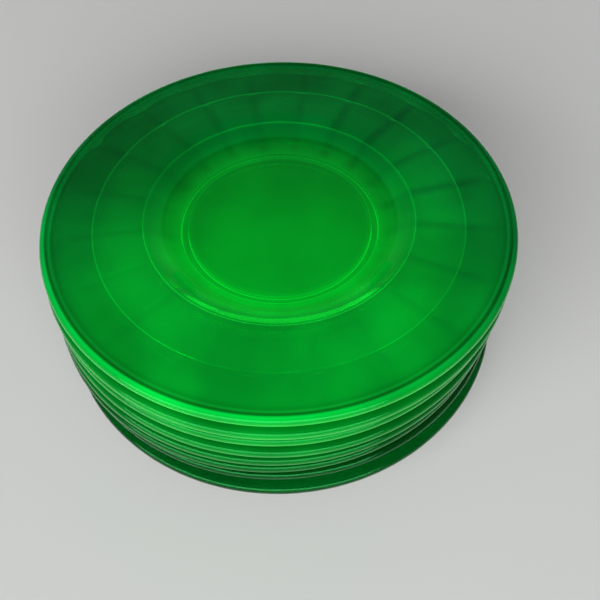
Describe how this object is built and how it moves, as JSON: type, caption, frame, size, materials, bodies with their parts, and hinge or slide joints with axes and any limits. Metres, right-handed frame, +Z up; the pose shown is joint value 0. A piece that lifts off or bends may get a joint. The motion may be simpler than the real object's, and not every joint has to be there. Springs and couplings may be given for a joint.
{
  "type": "stack of pressed glass plates",
  "caption": "Nested stack of small round pressed uranium glass plates, glowing green, each with a wide flat brim, a shallow well and a low foot ring.",
  "frame": {"origin": "under the middle of the stack, on the surface it stands on", "axes": "+Z up along the plates' common axis; +Y away from the side the picture was taken from, +X to that viewer's right"},
  "size_m": [0.1546, 0.1544, 0.0578],
  "materials": {
    "uranium_glass": "fire-polished clear glass, fluorescing green"
  },
  "bodies": {
    "bottom_plate": {"bottom_plate": "uranium_glass"},
    "plate_2": {"plate_2": "uranium_glass"},
    "plate_3": {"plate_3": "uranium_glass"},
    "plate_4": {"plate_4": "uranium_glass"},
    "plate_5": {"plate_5": "uranium_glass"},
    "plate_6": {"plate_6": "uranium_glass"},
    "plate_7": {"plate_7": "uranium_glass"},
    "top_plate": {"top_plate": "uranium_glass"}
  },
  "joints": [
    {"name": "lift_plate_2", "type": "slide", "parent": "bottom_plate", "child": "plate_2", "axis": [0, 0, 1], "range_m": [0, 0.02]},
    {"name": "lift_plate_3", "type": "slide", "parent": "plate_2", "child": "plate_3", "axis": [0, 0, 1], "range_m": [0, 0.02]},
    {"name": "lift_plate_4", "type": "slide", "parent": "plate_3", "child": "plate_4", "axis": [0, 0, 1], "range_m": [0, 0.02]},
    {"name": "lift_plate_5", "type": "slide", "parent": "plate_4", "child": "plate_5", "axis": [0, 0, 1], "range_m": [0, 0.02]},
    {"name": "lift_plate_6", "type": "slide", "parent": "plate_5", "child": "plate_6", "axis": [0, 0, 1], "range_m": [0, 0.02]},
    {"name": "lift_plate_7", "type": "slide", "parent": "plate_6", "child": "plate_7", "axis": [0, 0, 1], "range_m": [0, 0.02]},
    {"name": "lift_top_plate", "type": "slide", "parent": "plate_7", "child": "top_plate", "axis": [0, 0, 1], "range_m": [0, 0.02]}
  ]
}
